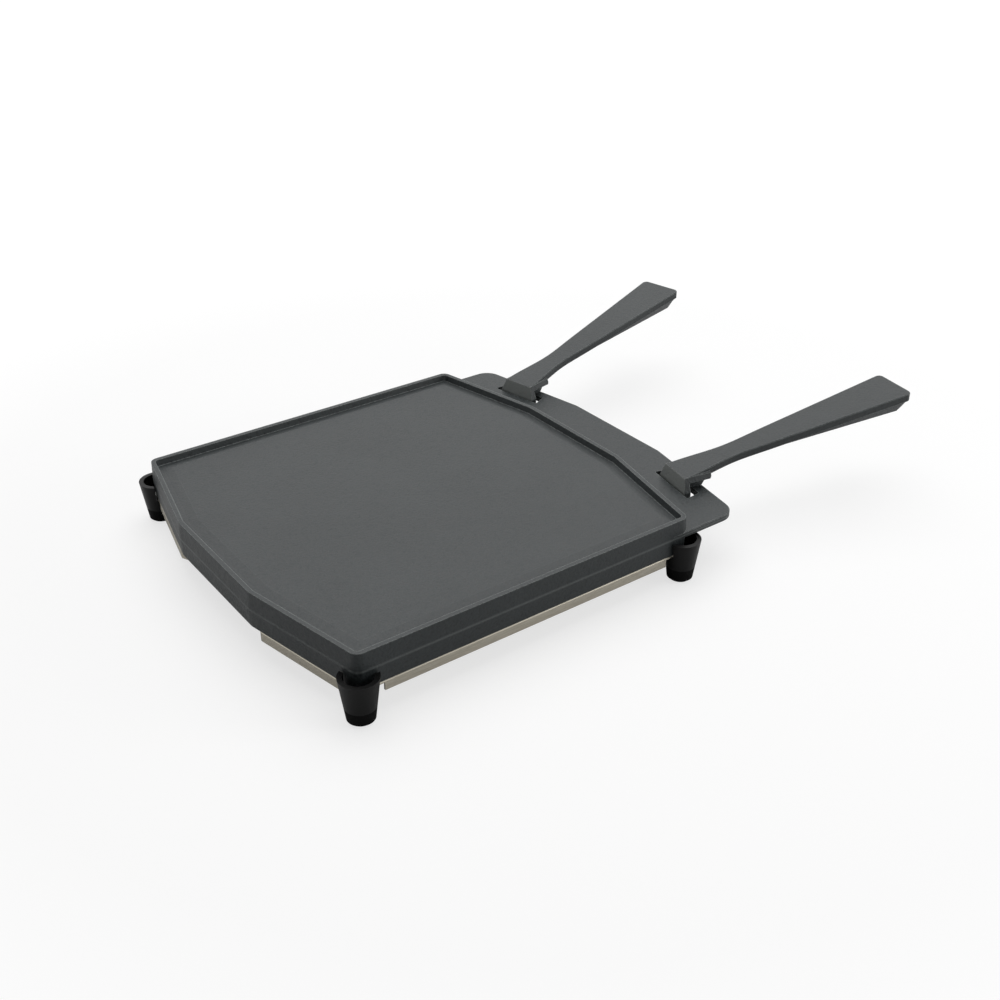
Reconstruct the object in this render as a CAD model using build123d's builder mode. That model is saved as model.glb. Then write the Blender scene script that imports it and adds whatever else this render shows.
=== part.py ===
"""Reversible cast iron griddle plate with two hook-on handles on a footed stand.

Units are millimetres. +Z is up and +Y runs from the plate towards the handles.
The origin lies on the table, under the middle of the whole object.
The plate rests with its flat face up and its ribbed face down.
"""

import math
import os

from build123d import *

os.makedirs("parts", exist_ok=True)

# Plate outline: straight long sides and ends that bulge in three straight runs
PLATE_WIDTH = 308.0
SIDE_LENGTH = 273.5
END_BULGE = 21.0
BEND_HALF_WIDTH = 53.5
CORNER_RADIUS = 7.0
BEND_RADIUS = 18.0
LEAST_CORNER_RADIUS = 2.0
PLATE_HEIGHT = 27.0
WALL_DRAFT = 2.5

# Flat cooking face with a shallow drain channel inside the rim
RIM_WIDTH = 4.0
FLAT_DEPTH = 3.0
CHANNEL_DEPTH = 5.0
CHANNEL_FLOOR = 3.5
CHANNEL_SLOPE_RUN = 7.0
RIM_INNER_SLOPE = 1.2

# Ribbed face: a tray whose front wall is a ramp up to the rim
TRAY_DEPTH = 14.5
TRAY_WALL_RUN = 2.0
RAMP_RUN = 15.0
RIB_HEIGHT = 4.2
RIB_WIDTH = 6.4
RIB_DRAFT = 12.0
RIB_PITCH = 9.4
RIB_ANGLE = -30.0
RIB_END_GAP = 9.0
RIB_LEAST_LENGTH = 20.0

# Flange that carries the handles
FLANGE_REACH = 45.0
FLANGE_CORNER_REACH = 47.0
FLANGE_THICKNESS = 5.0
FLANGE_CORNER_RADIUS = 14.0
FLANGE_BEND_HALF_WIDTH = 51.0
FLANGE_EDGE_CHAMFER = 0.6
SLOT_CENTRE_X = 98.6
SLOT_FROM_WALL = 30.0
SLOT_LENGTH = 46.0
SLOT_WIDTH = 12.5
SLOT_END_SLANT = 3.5
SLOT_CORNER_RADIUS = 1.5

# Handle: hook, neck and a butt that widens and lifts
HANDLE_SPLAY = 11.1
HANDLE_LIFT = 9.0
HANDLE_LENGTH = 207.0
CREST_HALF_WIDTH = 13.5
CREST_NARROWING = 0.6
NECK_DISTANCE = 44.0
NECK_HALF_WIDTH = 9.2
BUTT_HALF_WIDTH = 20.0
BUTT_CORNER_RADIUS = 4.5
HANDLE_THICKNESS = 6.0
HOOK_LEAN = 2.0
SHANK_THICKNESS = 5.5
TOE_LENGTH = 6.5
TOE_THICKNESS = 4.5
TOE_CHAMFER = 1.5
HOOK_HALF_WIDTH = 17.5
HEEL_HALF_WIDTH = 10.0
HEEL_REACH = 15.0
HEEL_RISE_RUN = 5.0
HEEL_CUT_BELOW_CREST = 4.0
CREST_FLAT = 1.0
STRAIGHT_FROM = 82.0
STRAIGHT_HALF_WIDTH = 11.4
HANDLE_EDGE_CHAMFER = 0.6
KEEL_START = 88.0
KEEL_DEPTH = 9.0
KEEL_BEVEL = 28.0
KEEL_END_CHAMFER = 10.0
KEEL_SIDE_STEP = 0.4
KEEL_END_STEP = 0.6
KEEL_ROOT = 1.0

# Stand: a pressed steel ring with turned-down lips, on four feet
SHEET = 1.5
STAND_INSET = 0.6
STAND_RING_WIDTH = 24.0
LIP_DEPTH = 7.3
RELIEF_DEPTH = 6.5
RELIEF_HALF_WIDTH = 62.0
RELIEF_SLANT = 10.0
RELIEF_CORNER_RADIUS = 3.0
STAND_CORNER_RADIUS = 8.0
WINDOW_CORNER_RADIUS = 34.0
FOOT_INSET = 2.7
FOOT_HEIGHT = 23.0
FOOT_TOP_RADIUS = 13.5
FOOT_SOLE_RADIUS = 9.2
FOOT_SOLE_CHAMFER = 1.8
CUP_HEIGHT = 10.0
CUP_WALL = 3.4
PAD_HEIGHT = 11.0
LIP_NOTCH_RADIUS = 17.0
BEND_EDGE_CHAMFER = 0.7
SCREW_RADIUS = 2.0
SCREW_HEAD_RADIUS = 3.9
SCREW_HEAD_HEIGHT = 2.4
SCREW_HEAD_DEPTH = 5.0
NUT_RADIUS = 3.9
NUT_HEIGHT = 3.0
HEX_SIDES = 6

# Clearances
SEAT_GAP = 0.3
HOOK_GAP = 1.2
TOE_GAP = 0.4
SCREW_GAP = 0.25
THREAD_GAP = 0.05
WALL_TO_FOOT_GAP = 1.0
SCREW_END_GAP = 0.2
SAME_PLACE = 0.1

# Heights and places worked out from the sizes above
SPLAY = math.radians(HANDLE_SPLAY)
LIFT = math.radians(HANDLE_LIFT)
HALF_WIDTH = PLATE_WIDTH / 2
HALF_SIDE = SIDE_LENGTH / 2
STAND_TOP = FOOT_HEIGHT
PLATE_BOTTOM = STAND_TOP + SEAT_GAP
PLATE_TOP = PLATE_BOTTOM + PLATE_HEIGHT
PLATE_MIDDLE = PLATE_BOTTOM + PLATE_HEIGHT / 2
FLANGE_TOP = PLATE_MIDDLE + FLANGE_THICKNESS / 2
FLANGE_BOTTOM = PLATE_MIDDLE - FLANGE_THICKNESS / 2
END_SLOPE = END_BULGE / (HALF_WIDTH - BEND_HALF_WIDTH)
SLOT_WALL_Y = HALF_SIDE + (HALF_WIDTH - SLOT_CENTRE_X) * END_SLOPE
HOOK_FRONT = -SLOT_WIDTH / 2 + HOOK_GAP
CREST = HOOK_FRONT + HOOK_LEAN
CREST_HEIGHT = PLATE_TOP - FLANGE_TOP
HANDLE_RUN = HANDLE_LENGTH * math.cos(LIFT)
SLOT_OFFSET_Y = SLOT_WALL_Y + SLOT_FROM_WALL
BUTT_REACH = (
    SLOT_OFFSET_Y
    + (HANDLE_RUN + CREST) * math.cos(SPLAY)
    + BUTT_HALF_WIDTH * math.sin(SPLAY)
)
PLATE_Y = (HALF_SIDE + END_BULGE - BUTT_REACH) / 2
FOOT_X = HALF_WIDTH - FOOT_INSET
FOOT_Y = HALF_SIDE - FOOT_INSET


def outline_points(inset, front_shift=0.0):
    """Corner points of the plate's outline, moved inwards by inset."""
    half_width = HALF_WIDTH - inset
    tip = HALF_SIDE + END_BULGE - inset
    bend = BEND_HALF_WIDTH
    corner = tip - END_SLOPE * (half_width - bend)
    return [
        (half_width, PLATE_Y - corner + front_shift),
        (half_width, PLATE_Y + corner),
        (bend, PLATE_Y + tip),
        (-bend, PLATE_Y + tip),
        (-half_width, PLATE_Y + corner),
        (-half_width, PLATE_Y - corner + front_shift),
        (-bend, PLATE_Y - tip + front_shift),
        (bend, PLATE_Y - tip + front_shift),
    ]


def outline_sketch(plane, inset, corner_radius=CORNER_RADIUS, front_shift=0.0):
    """Plate outline as a sketch with rounded corners and soft bends."""
    with BuildSketch(plane) as sketch:
        with BuildLine():
            Polyline(*outline_points(inset, front_shift), close=True)
        make_face()
        by_reach = sketch.vertices().sort_by(lambda v: abs(v.X))
        fillet(by_reach[4:], max(corner_radius - inset, LEAST_CORNER_RADIUS))
        bends = sketch.vertices().filter_by(
            lambda v: abs(abs(v.X) - BEND_HALF_WIDTH) < SAME_PLACE
        )
        fillet(bends, BEND_RADIUS)
    return sketch


def slot_place(side):
    """Plane on the flange's top at a slot, with its x axis pointing outwards."""
    outward = (side * math.sin(SPLAY), math.cos(SPLAY), 0)
    return Plane(
        origin=(side * SLOT_CENTRE_X, PLATE_Y + SLOT_OFFSET_Y, FLANGE_TOP),
        x_dir=outward,
        z_dir=(0, 0, 1),
    )


def rib_limits():
    """Straight limits of the rib field, as (x part, y part, reach) from the plate's centre."""
    tray = RIM_WIDTH + TRAY_WALL_RUN
    side = HALF_WIDTH - tray - RIB_END_GAP
    rear = HALF_SIDE + END_BULGE - tray - RIB_END_GAP
    front = HALF_SIDE + END_BULGE - tray - RAMP_RUN / 2
    bend = END_SLOPE * BEND_HALF_WIDTH
    return [
        (1, 0, side),
        (-1, 0, side),
        (0, 1, rear),
        (END_SLOPE, 1, rear + bend),
        (-END_SLOPE, 1, rear + bend),
        (0, -1, front),
        (END_SLOPE, -1, front + bend),
        (-END_SLOPE, -1, front + bend),
    ]


def rib_span(offset):
    """Middle point and length of the rib whose centre line passes at an offset."""
    angle = math.radians(RIB_ANGLE)
    along = (math.cos(angle), math.sin(angle))
    base = (-offset * along[1], offset * along[0])
    start, stop = -PLATE_WIDTH, PLATE_WIDTH
    for x_part, y_part, reach in rib_limits():
        speed = x_part * along[0] + y_part * along[1]
        distance = (reach - x_part * base[0] - y_part * base[1]) / speed
        if speed > 0:
            stop = min(stop, distance)
        else:
            start = max(start, distance)
    middle = (start + stop) / 2
    return (base[0] + middle * along[0], base[1] + middle * along[1]), stop - start


# Flange in line with the plate's sides, with softened edges
FLANGE_ROOT_Y = PLATE_Y + HALF_SIDE - 2 * CORNER_RADIUS
FLANGE_CORNER_Y = PLATE_Y + HALF_SIDE + FLANGE_CORNER_REACH
FLANGE_TIP_Y = PLATE_Y + HALF_SIDE + END_BULGE + FLANGE_REACH
with BuildPart() as flange:
    with BuildSketch(Plane.XY.offset(FLANGE_BOTTOM)) as flange_outline:
        with BuildLine():
            Polyline(
                (-HALF_WIDTH, FLANGE_ROOT_Y),
                (-HALF_WIDTH, FLANGE_CORNER_Y),
                (-FLANGE_BEND_HALF_WIDTH, FLANGE_TIP_Y),
                (FLANGE_BEND_HALF_WIDTH, FLANGE_TIP_Y),
                (HALF_WIDTH, FLANGE_CORNER_Y),
                (HALF_WIDTH, FLANGE_ROOT_Y),
                close=True,
            )
        make_face()
        fillet(flange_outline.vertices().group_by(Axis.Y)[1], FLANGE_CORNER_RADIUS)
        fillet(flange_outline.vertices().group_by(Axis.Y)[-1], BEND_RADIUS)
    extrude(amount=FLANGE_THICKNESS)
    chamfer(flange.faces().sort_by(Axis.Z)[-1].edges(), FLANGE_EDGE_CHAMFER)
    chamfer(flange.faces().sort_by(Axis.Z)[0].edges(), FLANGE_EDGE_CHAMFER)

# Plate casting: drafted walls above and below the parting line
with BuildPart() as griddle_plate:
    parting_outline = outline_sketch(Plane.XY.offset(PLATE_MIDDLE), 0)
    extrude(parting_outline.sketch, amount=PLATE_HEIGHT / 2, both=True, taper=WALL_DRAFT)
    add(flange.part)

    # Handle slots, longer on the plate's side
    for side in (-1, 1):
        with BuildSketch(slot_place(side)) as slot:
            with BuildLine():
                Polyline(
                    (-SLOT_WIDTH / 2, -SLOT_LENGTH / 2),
                    (-SLOT_WIDTH / 2, SLOT_LENGTH / 2),
                    (SLOT_WIDTH / 2, SLOT_LENGTH / 2 - SLOT_END_SLANT),
                    (SLOT_WIDTH / 2, -SLOT_LENGTH / 2 + SLOT_END_SLANT),
                    close=True,
                )
            make_face()
            fillet(slot.vertices(), SLOT_CORNER_RADIUS)
        extrude(amount=FLANGE_THICKNESS, both=True, mode=Mode.SUBTRACT)

    # Recess over the flat face down to the drain channel's floor
    rim_plane = Plane.XY.offset(PLATE_TOP)
    channel_plane = Plane.XY.offset(PLATE_TOP - CHANNEL_DEPTH)
    top_mouth = outline_sketch(rim_plane, RIM_WIDTH)
    channel_outer = outline_sketch(channel_plane, RIM_WIDTH + RIM_INNER_SLOPE)
    loft([top_mouth.sketch.face(), channel_outer.sketch.face()], mode=Mode.SUBTRACT)

    # Raised cooking face, sloping down into the channel
    plateau_inset = RIM_WIDTH + RIM_INNER_SLOPE + CHANNEL_FLOOR
    plateau_foot = outline_sketch(channel_plane, plateau_inset)
    face_plane = Plane.XY.offset(PLATE_TOP - FLAT_DEPTH)
    plateau_top = outline_sketch(face_plane, plateau_inset + CHANNEL_SLOPE_RUN)
    loft([plateau_foot.sketch.face(), plateau_top.sketch.face()])

    # Tray of the ribbed face, with a ramp at the front end
    tray_mouth = outline_sketch(Plane.XY.offset(PLATE_BOTTOM), RIM_WIDTH)
    tray_floor_plane = Plane.XY.offset(PLATE_BOTTOM + TRAY_DEPTH)
    tray_floor = outline_sketch(
        tray_floor_plane, RIM_WIDTH + TRAY_WALL_RUN, front_shift=RAMP_RUN
    )
    loft([tray_mouth.sketch.face(), tray_floor.sketch.face()], mode=Mode.SUBTRACT)

    # Slanting ribs with rounded ends stand on the tray floor and run into the ramp
    rib_plane = Plane((0, PLATE_Y, PLATE_BOTTOM + TRAY_DEPTH), x_dir=(1, 0, 0), z_dir=(0, 0, -1))
    rib_reach = int((HALF_WIDTH + HALF_SIDE) / RIB_PITCH)
    with BuildSketch(rib_plane):
        for number in range(-rib_reach, rib_reach + 1):
            rib_middle, rib_length = rib_span(number * RIB_PITCH)
            if rib_length > RIB_LEAST_LENGTH:
                with Locations(Location((rib_middle[0], -rib_middle[1]), -RIB_ANGLE)):
                    SlotOverall(rib_length, RIB_WIDTH)
    extrude(amount=RIB_HEIGHT, taper=RIB_DRAFT)

griddle_plate.part.label = "griddle_plate"
export_step(griddle_plate.part, "parts/griddle_plate.step")

# Handle, built once: +X outwards, origin at the slot's centre on the flange's top
SIDE_VIEW = Plane.XZ
TOP_SLOPE = math.tan(LIFT)
BLADE_END = CREST + HANDLE_RUN
BLADE_DROP = HANDLE_THICKNESS / math.cos(LIFT)


def top_height(u):
    """Height of the handle's top face at a distance from the slot's centre."""
    return CREST_HEIGHT + (u - CREST) * TOP_SLOPE


with BuildPart() as blade:
    with BuildSketch(SIDE_VIEW):
        with BuildLine():
            Polyline(
                (CREST, top_height(CREST)),
                (BLADE_END, top_height(BLADE_END)),
                (BLADE_END, top_height(BLADE_END) - BLADE_DROP),
                (CREST, top_height(CREST) - BLADE_DROP),
                close=True,
            )
        make_face()
    extrude(amount=2 * BUTT_HALF_WIDTH, both=True)
    with BuildSketch(Plane.XY) as plan_view:
        with BuildLine():
            neck = CREST + NECK_DISTANCE
            straight = CREST + STRAIGHT_FROM
            flare = Spline(
                (CREST, CREST_HALF_WIDTH),
                (CREST + NECK_DISTANCE / 4, CREST_HALF_WIDTH - CREST_NARROWING),
                (neck, NECK_HALF_WIDTH),
                (straight, STRAIGHT_HALF_WIDTH),
                tangents=((1, 0), (BLADE_END - straight, BUTT_HALF_WIDTH - STRAIGHT_HALF_WIDTH)),
            )
            Line(flare @ 1, (BLADE_END, BUTT_HALF_WIDTH))
            Line((BLADE_END, BUTT_HALF_WIDTH), (BLADE_END, 0))
            Line((BLADE_END, 0), (CREST, 0))
            Line((CREST, 0), flare @ 0)
        make_face()
        mirror(about=Plane.XZ)
        fillet(plan_view.vertices().group_by(Axis.X)[-1], BUTT_CORNER_RADIUS)
    extrude(amount=2 * HANDLE_LENGTH, both=True, mode=Mode.INTERSECT)
    blade_top = blade.faces().sort_by(Axis((0, 0, 0), (-math.sin(LIFT), 0, math.cos(LIFT))))[-1]
    blade_rim = blade_top.edges().filter_by(lambda e: e.center().X > CREST + CREST_FLAT)
    chamfer(blade_rim, HANDLE_EDGE_CHAMFER)

# Hook: shank down through the slot and a toe under the flange's inner strip
with BuildPart() as hook:
    shank_back = HOOK_FRONT + SHANK_THICKNESS
    toe_top = -FLANGE_THICKNESS - TOE_GAP
    toe_bottom = toe_top - TOE_THICKNESS
    heel_end = HEEL_REACH + HEEL_RISE_RUN
    with BuildSketch(SIDE_VIEW):
        with BuildLine():
            Polyline(
                (CREST, CREST_HEIGHT),
                (HOOK_FRONT, 0),
                (HOOK_FRONT, toe_top),
                (HOOK_FRONT - TOE_LENGTH, toe_top),
                (HOOK_FRONT - TOE_LENGTH + TOE_CHAMFER, toe_bottom),
                (shank_back - TOE_CHAMFER, toe_bottom),
                (shank_back, toe_top),
                (shank_back, SEAT_GAP),
                (HEEL_REACH, SEAT_GAP),
                (heel_end, top_height(heel_end) - BLADE_DROP),
                (heel_end, top_height(heel_end) - BLADE_DROP / 2),
                (CREST + CREST_FLAT, top_height(CREST + CREST_FLAT)),
                close=True,
            )
        make_face()
    extrude(amount=HOOK_HALF_WIDTH, both=True)
    with BuildSketch(Plane.YZ):
        with BuildLine():
            Polyline(
                (-CREST_HALF_WIDTH, CREST_HEIGHT + HEEL_REACH),
                (-CREST_HALF_WIDTH, CREST_HEIGHT),
                (-HOOK_HALF_WIDTH, SEAT_GAP),
                (-HOOK_HALF_WIDTH, toe_bottom),
                (HOOK_HALF_WIDTH, toe_bottom),
                (HOOK_HALF_WIDTH, SEAT_GAP),
                (CREST_HALF_WIDTH, CREST_HEIGHT),
                (CREST_HALF_WIDTH, CREST_HEIGHT + HEEL_REACH),
                close=True,
            )
        make_face()
    extrude(amount=3 * HEEL_REACH, both=True, mode=Mode.INTERSECT)
    with BuildSketch(Plane.XY.offset(toe_bottom)):
        for heel_side in (-1, 1):
            with Locations((shank_back + HEEL_REACH, heel_side * (HEEL_HALF_WIDTH + HEEL_REACH))):
                Rectangle(2 * HEEL_REACH, 2 * HEEL_REACH)
    extrude(amount=CREST_HEIGHT - toe_bottom - HEEL_CUT_BELOW_CREST, mode=Mode.SUBTRACT)

# Keel: a wedge under the butt, deepest near its end, with bevelled sides
with BuildPart() as keel:
    underside = Plane(
        origin=(CREST, 0, CREST_HEIGHT - BLADE_DROP),
        x_dir=(math.cos(LIFT), 0, math.sin(LIFT)),
        z_dir=(math.sin(LIFT), 0, -math.cos(LIFT)),
    )
    widening = (BUTT_HALF_WIDTH - STRAIGHT_HALF_WIDTH) / (HANDLE_LENGTH - STRAIGHT_FROM)
    start_half_width = STRAIGHT_HALF_WIDTH + widening * (KEEL_START - STRAIGHT_FROM)
    keel_end = HANDLE_LENGTH - KEEL_END_STEP
    with BuildSketch(underside) as keel_plan:
        with BuildLine():
            Polyline(
                (KEEL_START, -start_half_width + KEEL_SIDE_STEP),
                (keel_end, -BUTT_HALF_WIDTH + KEEL_SIDE_STEP),
                (keel_end, BUTT_HALF_WIDTH - KEEL_SIDE_STEP),
                (KEEL_START, start_half_width - KEEL_SIDE_STEP),
                close=True,
            )
        make_face()
        fillet(keel_plan.vertices().group_by(Axis.X)[-1], BUTT_CORNER_RADIUS)
    extrude(amount=KEEL_DEPTH, taper=KEEL_BEVEL)
    extrude(keel_plan.sketch, amount=-KEEL_ROOT)
    keel_side = Plane(underside.origin, x_dir=underside.x_dir, z_dir=(0, 1, 0))
    with BuildSketch(keel_side):
        with BuildLine():
            Polyline(
                (KEEL_START, -KEEL_ROOT),
                (KEEL_START, 0),
                (HANDLE_LENGTH - KEEL_END_CHAMFER, KEEL_DEPTH),
                (HANDLE_LENGTH, 0),
                (HANDLE_LENGTH, -KEEL_ROOT),
                close=True,
            )
        make_face()
    extrude(amount=2 * BUTT_HALF_WIDTH, both=True, mode=Mode.INTERSECT)

with BuildPart() as handle:
    add(blade.part)
    add(hook.part)
    add(keel.part)

for side, name in ((-1, "handle_left"), (1, "handle_right")):
    with BuildPart() as placed_handle:
        add(handle.part.moved(slot_place(side).location))
    placed_handle.part.label = name
    export_step(placed_handle.part, f"parts/{name}.step")


# Stand frame
def stand_points(inset):
    """Outline of the stand, which draws back under the middle of each end."""
    half_width = HALF_WIDTH - inset
    tip = HALF_SIDE + END_BULGE - inset
    corner = tip - END_SLOPE * (half_width - BEND_HALF_WIDTH)
    shoulder = tip - END_SLOPE * (RELIEF_HALF_WIDTH - BEND_HALF_WIDTH)
    relief = RELIEF_HALF_WIDTH - RELIEF_SLANT
    quarter = [(half_width, corner), (RELIEF_HALF_WIDTH, shoulder), (relief, tip - RELIEF_DEPTH)]
    upper = quarter + [(-x, y) for x, y in reversed(quarter)]
    lower = [(x, -y) for x, y in reversed(upper)]
    return [(x, PLATE_Y + y) for x, y in upper + lower]


def stand_sketch(plane, inset):
    """Stand outline as a sketch with rounded corners."""
    with BuildSketch(plane) as sketch:
        with BuildLine():
            Polyline(*stand_points(inset), close=True)
        make_face()
        corners = sketch.vertices().filter_by(lambda v: abs(v.X) > HALF_WIDTH - inset - SAME_PLACE)
        fillet(corners, STAND_CORNER_RADIUS - inset)
        soft = sketch.vertices().filter_by(
            lambda v: abs(abs(v.X) - RELIEF_HALF_WIDTH + RELIEF_SLANT / 2) < RELIEF_SLANT
        )
        fillet(soft, RELIEF_CORNER_RADIUS)
    return sketch


foot_places = [
    ("front_left", -FOOT_X, PLATE_Y - FOOT_Y),
    ("front_right", FOOT_X, PLATE_Y - FOOT_Y),
    ("rear_left", -FOOT_X, PLATE_Y + FOOT_Y),
    ("rear_right", FOOT_X, PLATE_Y + FOOT_Y),
]
foot_centres = [(x, y) for _, x, y in foot_places]
with BuildPart() as stand_frame:
    stand_outer = stand_sketch(Plane.XY.offset(STAND_TOP - LIP_DEPTH), STAND_INSET)
    extrude(stand_outer.sketch, amount=LIP_DEPTH)
    top_outer = stand_frame.faces().sort_by(Axis.Z)[-1].edges()
    chamfer(top_outer, BEND_EDGE_CHAMFER)
    stand_inner = stand_sketch(Plane.XY.offset(STAND_TOP - LIP_DEPTH), STAND_INSET + SHEET)
    extrude(stand_inner.sketch, amount=LIP_DEPTH - SHEET, mode=Mode.SUBTRACT)
    window = outline_sketch(
        Plane.XY.offset(STAND_TOP - LIP_DEPTH),
        STAND_INSET + STAND_RING_WIDTH,
        corner_radius=WINDOW_CORNER_RADIUS,
    )
    extrude(window.sketch, amount=LIP_DEPTH, mode=Mode.SUBTRACT)
    with BuildSketch(Plane.XY.offset(STAND_TOP - LIP_DEPTH)):
        with Locations(*foot_centres):
            Circle(LIP_NOTCH_RADIUS)
    extrude(amount=LIP_DEPTH - SHEET, mode=Mode.SUBTRACT)
    with Locations(*[(x, y, STAND_TOP) for x, y in foot_centres]):
        Hole(SCREW_RADIUS + THREAD_GAP, depth=SHEET)
stand_frame.part.label = "stand_frame"
export_step(stand_frame.part, "parts/stand_frame.step")

# Feet: a cupped upper body over a separate pad, tapering to the sole
CUP_TOP = STAND_TOP + CUP_HEIGHT
CUP_FLOOR = STAND_TOP - SHEET
FOOT_TAPER = (FOOT_TOP_RADIUS - FOOT_SOLE_RADIUS) / CUP_TOP


def foot_radius(height):
    """Outer radius of a foot at a height above the table."""
    return FOOT_SOLE_RADIUS + FOOT_TAPER * height


def foot_slice(x, y, height):
    """Round section of a foot's outer form at a height above the table."""
    with BuildSketch(Plane((x, y, height))) as section:
        Circle(foot_radius(height))
    return section.sketch.face()


for place, x, y in foot_places:
    with BuildPart() as foot_pad:
        loft([foot_slice(x, y, 0), foot_slice(x, y, PAD_HEIGHT)])
        chamfer(foot_pad.edges().sort_by(Axis.Z)[0], FOOT_SOLE_CHAMFER)
        with Locations((x, y, PAD_HEIGHT)):
            Hole(SCREW_RADIUS + SCREW_GAP)
        with BuildSketch(Plane((x, y, 0))):
            RegularPolygon(SCREW_HEAD_RADIUS + SCREW_GAP, HEX_SIDES)
        extrude(amount=SCREW_HEAD_DEPTH + SCREW_HEAD_HEIGHT, mode=Mode.SUBTRACT)
    foot_pad.part.label = f"foot_pad_{place}"
    export_step(foot_pad.part, f"parts/foot_pad_{place}.step")

    with BuildPart() as foot_cup:
        loft([foot_slice(x, y, PAD_HEIGHT), foot_slice(x, y, CUP_TOP)])
        with Locations((x, y, CUP_TOP)):
            Hole(FOOT_TOP_RADIUS - CUP_WALL, depth=CUP_TOP - CUP_FLOOR)
            Hole(SCREW_RADIUS + SCREW_GAP)
        with BuildSketch(Plane((x, y, CUP_FLOOR - NUT_HEIGHT))):
            RegularPolygon(NUT_RADIUS + SCREW_GAP, HEX_SIDES)
        extrude(amount=NUT_HEIGHT, mode=Mode.SUBTRACT)
        plate_room = outline_sketch(Plane.XY.offset(CUP_FLOOR), -WALL_TO_FOOT_GAP)
        extrude(plate_room.sketch, amount=CUP_TOP, mode=Mode.SUBTRACT)
    foot_cup.part.label = f"foot_cup_{place}"
    export_step(foot_cup.part, f"parts/foot_cup_{place}.step")

# Screws and nuts that hold the feet to the stand
with BuildPart() as foot_screws:
    with BuildSketch(Plane.XY.offset(SCREW_HEAD_DEPTH)):
        with Locations(*foot_centres):
            RegularPolygon(SCREW_HEAD_RADIUS, HEX_SIDES)
    extrude(amount=SCREW_HEAD_HEIGHT)
    with BuildSketch(Plane.XY.offset(SCREW_HEAD_DEPTH)):
        with Locations(*foot_centres):
            Circle(SCREW_RADIUS)
    extrude(amount=STAND_TOP - SCREW_HEAD_DEPTH - SCREW_END_GAP)
foot_screws.part.label = "foot_screws"
export_step(foot_screws.part, "parts/foot_screws.step")

with BuildPart() as foot_nuts:
    with BuildSketch(Plane.XY.offset(CUP_FLOOR - NUT_HEIGHT)):
        with Locations(*foot_centres):
            RegularPolygon(NUT_RADIUS, HEX_SIDES)
            Circle(SCREW_RADIUS + THREAD_GAP, mode=Mode.SUBTRACT)
    extrude(amount=NUT_HEIGHT)
foot_nuts.part.label = "foot_nuts"
export_step(foot_nuts.part, "parts/foot_nuts.step")
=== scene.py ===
"""Looks, light and camera for the reversible griddle plate. Units are metres.

Every shape comes from the frame. This script gives each piece its finish, and sets the light,
the floor and the camera.
"""

import logging
from collections.abc import Iterable
from dataclasses import dataclass, field
from enum import Enum

import bpy
from mathutils import Matrix, Vector

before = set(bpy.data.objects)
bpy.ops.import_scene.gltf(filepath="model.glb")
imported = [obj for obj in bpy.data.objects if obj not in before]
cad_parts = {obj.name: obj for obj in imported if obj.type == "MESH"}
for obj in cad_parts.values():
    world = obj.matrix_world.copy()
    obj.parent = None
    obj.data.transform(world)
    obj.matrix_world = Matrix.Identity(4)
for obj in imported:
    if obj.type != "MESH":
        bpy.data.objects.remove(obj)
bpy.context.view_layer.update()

logging.basicConfig(level=logging.INFO, format="%(message)s")
log = logging.getLogger("scene")

Colour = tuple[float, float, float, float]
Triple = tuple[float, float, float]
Span = tuple[float, float]
Output = tuple[bpy.types.Node, str | int]

WHITE: Colour = (1.0, 1.0, 1.0, 1.0)
UP: Triple = (0.0, 0.0, 1.0)
MM_PER_M = 1000.0
BEVEL_SAMPLES = 6

# The mix node has sockets for each kind of value, which share their names, so they go by number
MIX_FACTOR = 0
VECTOR_LOW, VECTOR_HIGH, VECTOR_RESULT = 4, 5, 1
COLOUR_LOW, COLOUR_HIGH, COLOUR_RESULT = 6, 7, 2


def linear(hex_colour: str) -> Colour:
    """Turns an sRGB hex colour into linear RGBA, by the curve of the sRGB standard.

    Args:
        hex_colour: Six hex digits with a leading hash.

    Returns:
        Four linear channel values, with alpha 1.
    """
    channels = [int(hex_colour[start : start + 2], 16) / 255 for start in (1, 3, 5)]
    red, green, blue = (
        value / 12.92 if value <= 0.04045 else ((value + 0.055) / 1.055) ** 2.4
        for value in channels
    )
    return (red, green, blue, 1.0)


def metres(span_mm: Span) -> Span:
    """Turns both ends of a range from millimetres to metres."""
    return (span_mm[0] / MM_PER_M, span_mm[1] / MM_PER_M)


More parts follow.
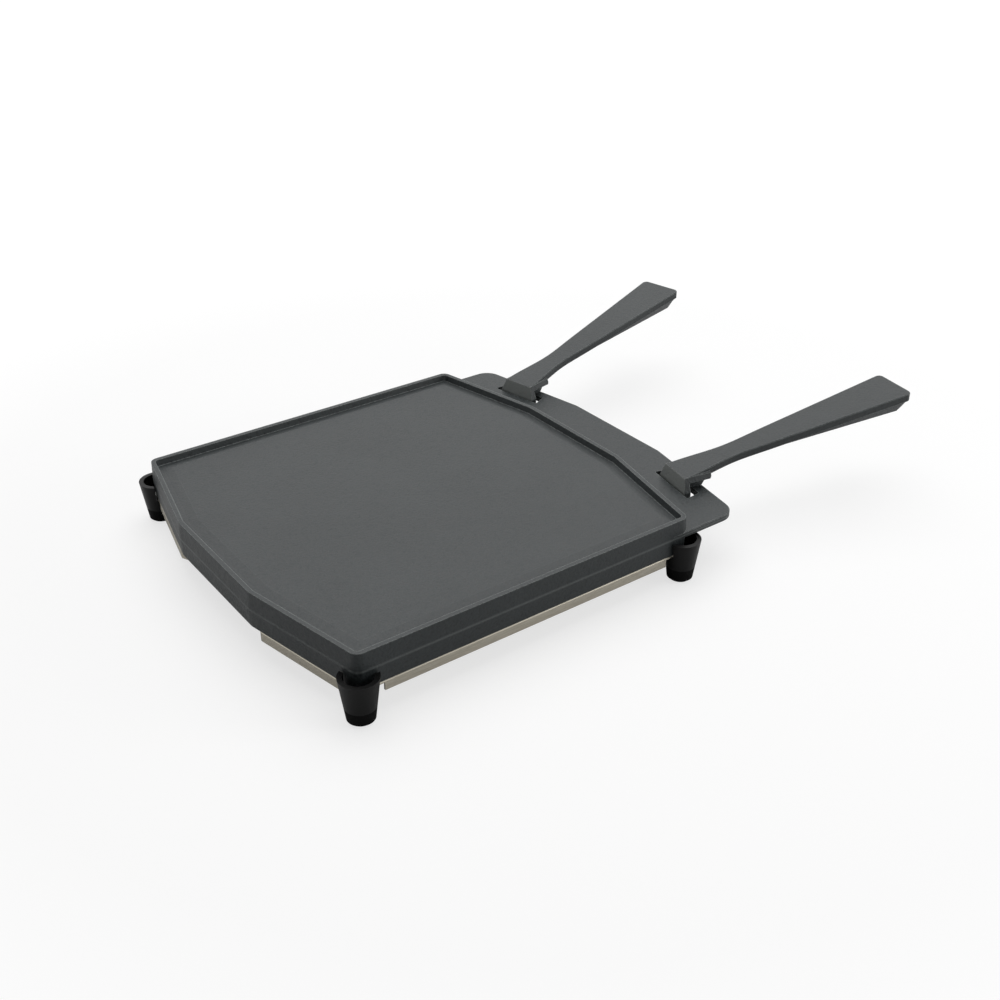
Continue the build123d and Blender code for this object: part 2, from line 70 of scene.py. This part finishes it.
@dataclass
class NodeTree:
    """The node tree of a material or a world, with one way to add and join nodes."""

    owner: bpy.types.Material | bpy.types.World

    def __post_init__(self) -> None:
        """Turns nodes on and empties the tree."""
        self.owner.use_nodes = True
        self.owner.node_tree.nodes.clear()

    def add(
        self, kind: str, settings: dict | None = None, inputs: dict | None = None
    ) -> bpy.types.Node:
        """Adds a node with its settings and links.

        Args:
            kind: Blender's name for the node type.
            settings: Attributes to set on the node.
            inputs: Socket values, or (node, output) pairs to link, by socket.

        Returns:
            The new node.
        """
        node = self.owner.node_tree.nodes.new(kind)
        for key, value in (settings or {}).items():
            setattr(node, key, value)
        for key, value in (inputs or {}).items():
            if isinstance(value, tuple) and isinstance(value[0], bpy.types.Node):
                self.join(value, node, key)
            else:
                node.inputs[key].default_value = value
        return node

    def join(self, source: Output, target: bpy.types.Node, socket: str | int) -> None:
        """Links an output to a socket.

        Args:
            source: The (node, output) to link from.
            target: Node to link to.
            socket: Name or number of its socket.
        """
        node, output = source
        self.owner.node_tree.links.new(node.outputs[output], target.inputs[socket])

    def mix(self, low: Output | Colour, high: Output | Colour, factor: Output) -> Output:
        """Mixes two colours by a factor.

        Args:
            low: Colour shown where the factor is 0.
            high: Colour shown where the factor is 1.
            factor: The (node, output) of the factor.

        Returns:
            The (node, output) of the mixed colour.
        """
        inputs = {MIX_FACTOR: factor, COLOUR_LOW: low, COLOUR_HIGH: high}
        return (self.add("ShaderNodeMix", {"data_type": "RGBA"}, inputs), COLOUR_RESULT)

    def ramp(self, source: Output, over: Span, to: Span = (0.0, 1.0)) -> Output:
        """Maps a value from one range to another, clamped.

        Args:
            source: The (node, output) to map.
            over: Source values that give the two ends of the result.
            to: Both ends of the result.

        Returns:
            The (node, output) of the result.
        """
        inputs = {
            "Value": source,
            "From Min": over[0],
            "From Max": over[1],
            "To Min": to[0],
            "To Max": to[1],
        }
        return (self.add("ShaderNodeMapRange", {"clamp": True}, inputs), "Result")

    def maths(
        self, operation: str, first: Output | float, second: Output | float = 0.0
    ) -> Output:
        """Joins two values with a maths operation.

        Args:
            operation: Blender's name for the operation.
            first: First value.
            second: Second value, where the operation takes two.

        Returns:
            The (node, output) of the result.
        """
        node = self.add("ShaderNodeMath", {"operation": operation}, {0: first, 1: second})
        return (node, "Value")

    def place(self) -> Output:
        """Gives the (node, output) of the place on the object, in metres."""
        return (self.add("ShaderNodeTexCoord"), "Object")

    def part_of(self, vector: Output, axis: str) -> Output:
        """Takes one axis, X, Y or Z, out of a vector.

        Args:
            vector: The (node, output) of the vector.
            axis: Letter of the axis.

        Returns:
            The (node, output) of that part.
        """
        return (self.add("ShaderNodeSeparateXYZ", None, {0: vector}), axis)

    def noise(self, cell_mm: float, detail: float, stretch: Triple = (1.0, 1.0, 1.0)) -> Output:
        """Adds noise whose features are about cell_mm across.

        Args:
            cell_mm: Size of one feature in millimetres.
            detail: Octaves of finer noise.
            stretch: Scale of each axis, below 1 to draw the pattern out.

        Returns:
            The (node, output) of the noise, from 0 to 1.
        """
        mapping = self.add("ShaderNodeMapping", None, {"Vector": self.place(), "Scale": stretch})
        inputs = {
            "Vector": (mapping, "Vector"),
            "Scale": MM_PER_M / cell_mm,
            "Detail": detail,
        }
        return (self.add("ShaderNodeTexNoise", None, inputs), "Fac")

    def bump(self, height: Output, depth_mm: float, normal: Output | None = None) -> Output:
        """Bends a normal by the slopes of a pattern.

        Args:
            height: The (node, output) of the height, from 0 to 1.
            depth_mm: Height of the pattern in millimetres.
            normal: The normal to bend, or None for the surface's own.

        Returns:
            The (node, output) of the bent normal.
        """
        inputs = {"Height": height, "Distance": depth_mm / MM_PER_M}
        if normal is not None:
            inputs["Normal"] = normal
        return (self.add("ShaderNodeBump", None, inputs), "Normal")

    def rounded(self, radius_mm: float) -> Output:
        """Gives a normal that turns smoothly round each edge.

        Args:
            radius_mm: Radius of the rounding in millimetres.

        Returns:
            The (node, output) of the normal.
        """
        inputs = {"Radius": radius_mm / MM_PER_M}
        return (self.add("ShaderNodeBevel", {"samples": BEVEL_SAMPLES}, inputs), "Normal")

    def edges(self, radius_mm: float, reach: float) -> Output:
        """Finds sharp edges, where the rounded normal leaves the plain one.

        Args:
            radius_mm: Width of the band along each edge.
            reach: Turn of the normal that counts as a full edge.

        Returns:
            The (node, output) that is 1 on an edge and 0 on a face.
        """
        plain = (self.add("ShaderNodeNewGeometry"), "Normal")
        inputs = {0: self.rounded(radius_mm), 1: plain}
        turn = self.add("ShaderNodeVectorMath", {"operation": "DOT_PRODUCT"}, inputs)
        return self.ramp((turn, "Value"), (1.0, 1.0 - reach))


@dataclass
class Surface(NodeTree):
    """A material's node tree, with a principled shader joined to its output."""

    output: bpy.types.Node = field(init=False)
    shader: bpy.types.Node = field(init=False)

    def __post_init__(self) -> None:
        """Adds the shader and the output to the empty tree."""
        super().__post_init__()
        self.output = self.add("ShaderNodeOutputMaterial")
        self.shader = self.add("ShaderNodeBsdfPrincipled")
        self.join((self.shader, "BSDF"), self.output, "Surface")

    def shine(self, ior: float, specular: float) -> None:
        """Sets how strongly the shader mirrors the room.

        Args:
            ior: Index of refraction of the surface.
            specular: Share of the reflection, 0.5 for that of the index alone.
        """
        self.shader.inputs["IOR"].default_value = ior
        self.shader.inputs["Specular IOR Level"].default_value = specular


@dataclass(frozen=True)
class CastIron:
    """Sand-cast iron under baked-on oil: dark grey and satin, with a cast grain.

    The oil bakes to a thin varnish, so the surface shines like varnish and isn't metallic.
    """

    name: str = "Sand-cast iron, oil seasoned"
    ground: str = "#2c3132"
    patch: str = "#272c2d"
    pore: str = "#131516"
    # Lighter iron for the edges and the parting line: wear and painted highlight on edges, painted
    # highlight on the line
    wear_and_highlight: str = "#8b908f"
    roughness: Span = (0.4, 0.56)
    ior: float = 1.5
    specular: float = 0.37

    # The sand's real grain, about 0.5 mm, is too fine to show and is drawn coarser
    grain_mm: float = 2.0
    grain_detail: float = 6.0
    grain_depth_mm: float = 0.3
    coarse_times: float = 3.2
    coarse_share: float = 0.6
    plain_detail: float = 2.0
    rough_over: Span = (0.3, 0.7)

    blotch_mm: float = 60.0
    blotch_over: Span = (0.35, 0.65)
    pore_over: Span = (0.5, 0.32)
    pore_share: float = 0.75

    edge_mm: float = 1.1
    edge_reach: float = 0.12
    wear_over: Span = (0.35, 0.6)
    wear_share: Span = (0.35, 0.9)

    # Where the painted highlight along the parting line runs, how far it reaches and how strong it
    # is
    parting_mm: float | None = None
    parting_reach_mm: Span = (1.4, 0.2)
    parting_share: float = 0.3
    wall_facing: Span = (0.3, 0.1)

    # Paler colour painted on the front of each hook as a highlight
    hook_highlight: str | None = None
    hook_facing: Span = (-0.75, -0.95)
    hook_rise_mm: Span = (36.0, 41.0)

    fall_shown: float = 1.0
    fall_facing: Span = (0.93, 0.95)

    def casting(self, tree: Surface, grain: Output) -> Output:
        """Builds the colour of the bare casting, from blotches, pores and paler edges, partly wear
        and partly painted highlight.

        Args:
            tree: Tree to add the nodes to.
            grain: The (node, output) of the cast grain.

        Returns:
            The (node, output) of the colour.
        """
        # Broad, faint blotches where the oil baked on unevenly
        blotch = tree.ramp(tree.noise(self.blotch_mm, self.plain_detail), self.blotch_over)
        colour = tree.mix(linear(self.ground), linear(self.patch), blotch)
        # Small dark pores between the grains
        pores = tree.ramp(grain, self.pore_over, (0.0, self.pore_share))
        colour = tree.mix(colour, linear(self.pore), pores)
        # Edges are painted a lighter iron, partly as wear and partly as a painted highlight, more
        # on the high grains
        wear = tree.ramp(grain, self.wear_over, self.wear_share)
        wear_and_highlight_mask = tree.maths("MULTIPLY", tree.edges(self.edge_mm, self.edge_reach), wear)
        return tree.mix(colour, linear(self.wear_and_highlight), wear_and_highlight_mask)

    def paint_parting_highlight(self, tree: Surface, colour: Output, facing: Output, place: Output) -> Output:
        """Paints a thin highlight round the wall, along the line where the two halves of the mould
        met.

        Args:
            tree: Tree to add the nodes to.
            colour: The (node, output) of the colour so far.
            facing: The (node, output) of the surface's normal.
            place: The (node, output) of the place on the object.

        Returns:
            The (node, output) of the colour.
        """
        parting = self.parting_mm / MM_PER_M
        away = tree.maths("SUBTRACT", tree.part_of(place, "Z"), parting)
        near = metres(self.parting_reach_mm)
        line = tree.ramp(tree.maths("ABSOLUTE", away), near, (0.0, self.parting_share))
        # Only upright faces have it, and not the flat ones at the same height
        wall = tree.ramp(tree.maths("ABSOLUTE", tree.part_of(facing, "Z")), self.wall_facing)
        return tree.mix(colour, linear(self.wear_and_highlight), tree.maths("MULTIPLY", line, wall))

    def paint_hook_highlight(self, tree: Surface, colour: Output, facing: Output, place: Output) -> Output:
        """Paints a highlight on the front of each hook above the flange, a paler colour standing
        in for the light it catches.

        Args:
            tree: Tree to add the nodes to.
            colour: The (node, output) of the colour so far.
            facing: The (node, output) of the surface's normal.
            place: The (node, output) of the place on the object.

        Returns:
            The (node, output) of the colour.
        """
        front = tree.ramp(tree.part_of(facing, "Y"), self.hook_facing)
        above = tree.ramp(tree.part_of(place, "Z"), metres(self.hook_rise_mm))
        return tree.mix(colour, linear(self.hook_highlight), tree.maths("MULTIPLY", front, above))

    def flush_fall(self, tree: Surface, normal: Output) -> Output:
        """Shades the shallow fall to the drain channel almost as the flat face beside it.

        The photograph shows hardly any change of tone there. The shape keeps its full fall.

        Args:
            tree: Tree to add the nodes to.
            normal: The (node, output) of the normal so far.

        Returns:
            The (node, output) of the normal.
        """
        hidden = (0.0, 1.0 - self.fall_shown)
        near_flat = tree.ramp(tree.part_of(normal, "Z"), self.fall_facing, hidden)
        inputs = {MIX_FACTOR: near_flat, VECTOR_LOW: normal, VECTOR_HIGH: UP}
        flush = (tree.add("ShaderNodeMix", {"data_type": "VECTOR"}, inputs), VECTOR_RESULT)
        unit = tree.add("ShaderNodeVectorMath", {"operation": "NORMALIZE"}, {0: flush})
        return (unit, "Vector")

    def build(self) -> bpy.types.Material:
        """Makes the material.

        Returns:
            The Blender material.
        """
        tree = Surface(bpy.data.materials.new(self.name))
        grain = tree.noise(self.grain_mm, self.grain_detail)
        facing = (tree.add("ShaderNodeNewGeometry"), "Normal")
        place = tree.place()
        colour = self.casting(tree, grain)
        # Painted highlight along the parting line
        if self.parting_mm is not None:
            colour = self.paint_parting_highlight(tree, colour, facing, place)
        # Painted highlight on the front of each hook
        if self.hook_highlight is not None:
            colour = self.paint_hook_highlight(tree, colour, facing, place)
        tree.join(colour, tree.shader, "Base Color")
        # The varnish pools in the pores and is duller between them
        tree.join(tree.ramp(grain, self.rough_over, self.roughness), tree.shader, "Roughness")
        # A coarser grain under the fine one breaks up every highlight
        coarse = tree.noise(self.grain_mm * self.coarse_times, self.plain_detail)
        height = tree.maths("ADD", grain, tree.maths("MULTIPLY", coarse, self.coarse_share))
        normal = tree.rounded(self.edge_mm)
        if self.fall_shown < 1.0:
            normal = self.flush_fall(tree, normal)
        tree.join(tree.bump(height, self.grain_depth_mm, normal), tree.shader, "Normal")
        tree.shine(self.ior, self.specular)
        return tree.owner


@dataclass(frozen=True)
class BrushedSteel:
    """Steel with fine lines drawn out one way, which pull its highlights lengthwise."""

    name: str = "Stainless sheet, line brushed"
    ground: str = "#b5b0a4"
    line: str = "#9f998b"
    roughness: Span = (0.28, 0.42)

    # Real brush lines, about 0.1 mm apart, are too fine to show and are drawn coarser
    line_mm: float = 0.35
    line_detail: float = 2.0
    line_over: Span = (0.3, 0.7)
    line_depth_mm: float = 0.01
    draw_out: Triple = (1.0, 0.03, 1.0)

    def build(self) -> bpy.types.Material:
        """Makes the material.

        Returns:
            The Blender material.
        """
        tree = Surface(bpy.data.materials.new(self.name))
        lines = tree.noise(self.line_mm, self.line_detail, self.draw_out)
        shade = tree.ramp(lines, self.line_over)
        colour = tree.mix(linear(self.ground), linear(self.line), shade)
        tree.join(colour, tree.shader, "Base Color")
        tree.join(tree.ramp(lines, self.line_over, self.roughness), tree.shader, "Roughness")
        tree.join(tree.bump(lines, self.line_depth_mm), tree.shader, "Normal")
        tree.shader.inputs["Metallic"].default_value = 1.0
        return tree.owner


@dataclass(frozen=True)
class Moulded:
    """Black plastic or rubber, with a texture from its mould that breaks up the shine."""

    name: str
    ground: str
    # Paler colour painted along rims and edges as a highlight
    rim_highlight: str
    roughness: Span
    ior: float
    specular: float

    # A mould's real texture, about 0.1 mm, is too fine to show and is drawn coarser
    texture_mm: float
    depth_mm: float
    texture_detail: float = 2.0
    texture_over: Span = (0.3, 0.7)

    rim_mm: float = 0.5
    rim_reach: float = 0.3

    def build(self) -> bpy.types.Material:
        """Makes the material.

        Returns:
            The Blender material.
        """
        tree = Surface(bpy.data.materials.new(self.name))
        # Rims and edges are painted a little paler than the body, as a painted highlight
        rim_highlights = tree.edges(self.rim_mm, self.rim_reach)
        colour = tree.mix(linear(self.ground), linear(self.rim_highlight), rim_highlights)
        tree.join(colour, tree.shader, "Base Color")
        texture = tree.noise(self.texture_mm, self.texture_detail)
        rough = tree.ramp(texture, self.texture_over, self.roughness)
        tree.join(rough, tree.shader, "Roughness")
        tree.join(tree.bump(texture, self.depth_mm), tree.shader, "Normal")
        tree.shine(self.ior, self.specular)
        return tree.owner


class Finish(Enum):
    """The finishes that the object uses."""

    # The plate's parting line, at this height, gets a painted highlight
    PLATE = CastIron(parting_mm=36.8, fall_shown=0.35)
    HANDLE = CastIron(
        name="Sand-cast iron, handle castings",
        ground="#2a2f30",
        patch="#252a2b",
        grain_mm=1.6,
        # Painted highlight on the front of each hook
        hook_highlight="#8f9290",
    )
    STEEL = BrushedSteel()
    FASTENER = BrushedSteel(
        name="Zinc-plated steel, cold drawn",
        ground="#c9c9c6",
        line="#aeb0ae",
        draw_out=(1.0, 1.0, 0.2),
    )
    CUP = Moulded(
        name="Black nylon, injection moulded",
        ground="#060606",
        # Painted highlight along rims and edges
        rim_highlight="#1c1d1e",
        roughness=(0.32, 0.45),
        ior=1.53,
        specular=0.15,
        texture_mm=0.6,
        depth_mm=0.01,
    )
    PAD = Moulded(
        name="Black silicone rubber, pressed",
        ground="#040404",
        # Painted highlight along rims and edges
        rim_highlight="#121213",
        roughness=(0.6, 0.8),
        ior=1.43,
        specular=0.1,
        texture_mm=0.5,
        depth_mm=0.02,
    )


def dress(nodes: Iterable[str], finish: Finish) -> None:
    """Gives CAD nodes one finish.

    Args:
        nodes: Names of the CAD nodes.
        finish: The finish to build and assign.
    """
    material = finish.value.build()
    for name in nodes:
        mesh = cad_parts[name].data
        mesh.materials.clear()
        mesh.materials.append(material)
        log.info("%s: %s", name, material.name)


@dataclass
class Plate:
    """The reversible casting."""

    node: str = "griddle_plate"

    def build(self) -> None:
        """Dresses the plate."""
        dress([self.node], Finish.PLATE)


@dataclass
class Handles:
    """The two loose handles."""

    nodes: tuple[str, ...] = ("handle_left", "handle_right")

    def build(self) -> None:
        """Dresses the handles."""
        dress(self.nodes, Finish.HANDLE)


@dataclass
class Stand:
    """The steel frame with its feet and fasteners."""

    steel: str = "stand_frame"
    feet: tuple[str, ...] = ("front_left", "front_right", "rear_left", "rear_right")
    fasteners: tuple[str, ...] = ("foot_screws", "foot_nuts")

    def build(self) -> None:
        """Dresses the frame, the cups and pads of the feet, and the fasteners."""
        dress([self.steel], Finish.STEEL)
        dress([f"foot_cup_{foot}" for foot in self.feet], Finish.CUP)
        dress([f"foot_pad_{foot}" for foot in self.feet], Finish.PAD)
        dress(self.fasteners, Finish.FASTENER)


@dataclass(frozen=True)
class Panel:
    """A soft light panel: its centre, the point it faces, its width and height, its power."""

    name: str
    place: Triple
    aim: Triple
    size: Span
    watts: float

    def build(self) -> None:
        """Adds the panel to the scene."""
        data = bpy.data.lights.new(self.name, "AREA")
        data.shape = "RECTANGLE"
        data.size, data.size_y = self.size
        data.energy = self.watts
        light = bpy.data.objects.new(self.name, data)
        light.location = self.place
        towards = Vector(self.aim) - Vector(self.place)
        light.rotation_euler = towards.to_track_quat("-Z", "Y").to_euler()
        bpy.context.scene.collection.objects.link(light)


@dataclass
class Studio:
    """Floor, room, light panels and camera of a product photograph."""

    # The camera's place and axes were solved from the photograph's straight edges
    camera_place: Triple = (0.690521, -0.535513, 0.507245)
    camera_right: Triple = (0.59265, 0.80546, 0.0)
    camera_back: Triple = (0.6971, -0.5129, 0.5010)
    lens_mm: float = 45.385
    sensor_mm: float = 36.0
    clip: Span = (0.01, 100.0)

    floor_size: float = 14.0
    floor_colour: str = "#fafafa"
    floor_bounce: str = "#8a8a8a"
    floor_roughness: float = 0.9
    floor_specular: float = 0.1

    # The floor turns white between these distances from its middle, and is partly white before
    fade: Span = (0.45, 0.85)
    fade_share: Span = (0.66, 1.0)
    # A little over 1, to make up for the floor's own shade in the mix
    fade_strength: float = 1.06

    room_level: float = 0.2
    shown_level: float = 1.0

    panels: tuple[Panel, ...] = (
        Panel("overhead softbox", (-0.6, 0.35, 2.0), (0.0, -0.1, 0.0), (2.7, 2.7), 41.0),
        Panel("back softbox", (-1.9, 1.3, 1.2), (0.0, -0.1, 0.0), (1.6, 2.6), 2.0),
        Panel("right softbox", (1.1, 1.1, 0.45), (0.15, 0.0, 0.0), (0.7, 0.6), 7.0),
    )

    def camera(self) -> None:
        """Places the camera at the photograph's angle."""
        back = Vector(self.camera_back).normalized()
        right = Vector(self.camera_right).normalized()
        up = back.cross(right).normalized()
        right = up.cross(back).normalized()
        turn = Matrix((right, up, back)).transposed().to_4x4()
        data = bpy.data.cameras.new("camera")
        data.lens = self.lens_mm
        data.sensor_width = self.sensor_mm
        data.clip_start, data.clip_end = self.clip
        camera = bpy.data.objects.new("camera", data)
        camera.matrix_world = Matrix.Translation(self.camera_place) @ turn
        bpy.context.scene.collection.objects.link(camera)
        bpy.context.scene.camera = camera

    def floor(self) -> None:
        """Lays a pale floor that keeps the object's shadow and fades to white far away."""
        bpy.ops.mesh.primitive_plane_add(size=self.floor_size, location=(0, 0, 0))
        plane = bpy.context.object
        plane.name = "floor"
        tree = Surface(bpy.data.materials.new("Matt white paper sweep"))
        path = tree.add("ShaderNodeLightPath")
        # White paper lights the object's underside too much, so it throws back a greyer light
        diffuse = (path, "Is Diffuse Ray")
        colour = tree.mix(linear(self.floor_colour), linear(self.floor_bounce), diffuse)
        tree.join(colour, tree.shader, "Base Color")
        tree.shader.inputs["Roughness"].default_value = self.floor_roughness
        tree.shader.inputs["Specular IOR Level"].default_value = self.floor_specular
        # Past the shadow the camera sees plain white, so that no horizon shows
        measure = {"operation": "LENGTH"}
        distance = tree.add("ShaderNodeVectorMath", measure, {0: tree.place()})
        far = tree.ramp((distance, "Value"), self.fade, self.fade_share)
        seen = tree.maths("MULTIPLY", far, (path, "Is Camera Ray"))
        glow = {"Color": WHITE, "Strength": self.fade_strength}
        white = tree.add("ShaderNodeEmission", None, glow)
        layers = {0: seen, 1: (tree.shader, "BSDF"), 2: (white, "Emission")}
        blend = tree.add("ShaderNodeMixShader", None, layers)
        tree.join((blend, "Shader"), tree.output, "Surface")
        plane.data.materials.append(tree.owner)

    def room(self) -> None:
        """Lights the room dimly and evenly, and shows it plain white to the camera.

        Reflections, and what is seen through a clear piece, show the white room too.
        """
        world = bpy.data.worlds.new("studio")
        tree = NodeTree(world)
        path = tree.add("ShaderNodeLightPath")
        seen = tree.maths("MAXIMUM", (path, "Is Camera Ray"), (path, "Is Glossy Ray"))
        seen = tree.maths("MAXIMUM", seen, (path, "Is Transmission Ray"))
        level = tree.ramp(seen, (0.0, 1.0), (self.room_level, self.shown_level))
        light = tree.add("ShaderNodeBackground", None, {"Color": WHITE, "Strength": level})
        tree.add("ShaderNodeOutputWorld", None, {"Surface": (light, "Background")})
        bpy.context.scene.world = world

    def build(self) -> None:
        """Sets up the camera, the floor, the room and the light panels."""
        self.camera()
        self.floor()
        self.room()
        for panel in self.panels:
            panel.build()
        bpy.context.scene.view_settings.view_transform = "Standard"


def main() -> None:
    """Builds every part of the scene in order."""
    for part in (Plate(), Handles(), Stand(), Studio()):
        part.build()
        log.info("%s: done", type(part).__name__)


if __name__ == "__main__":
    main()
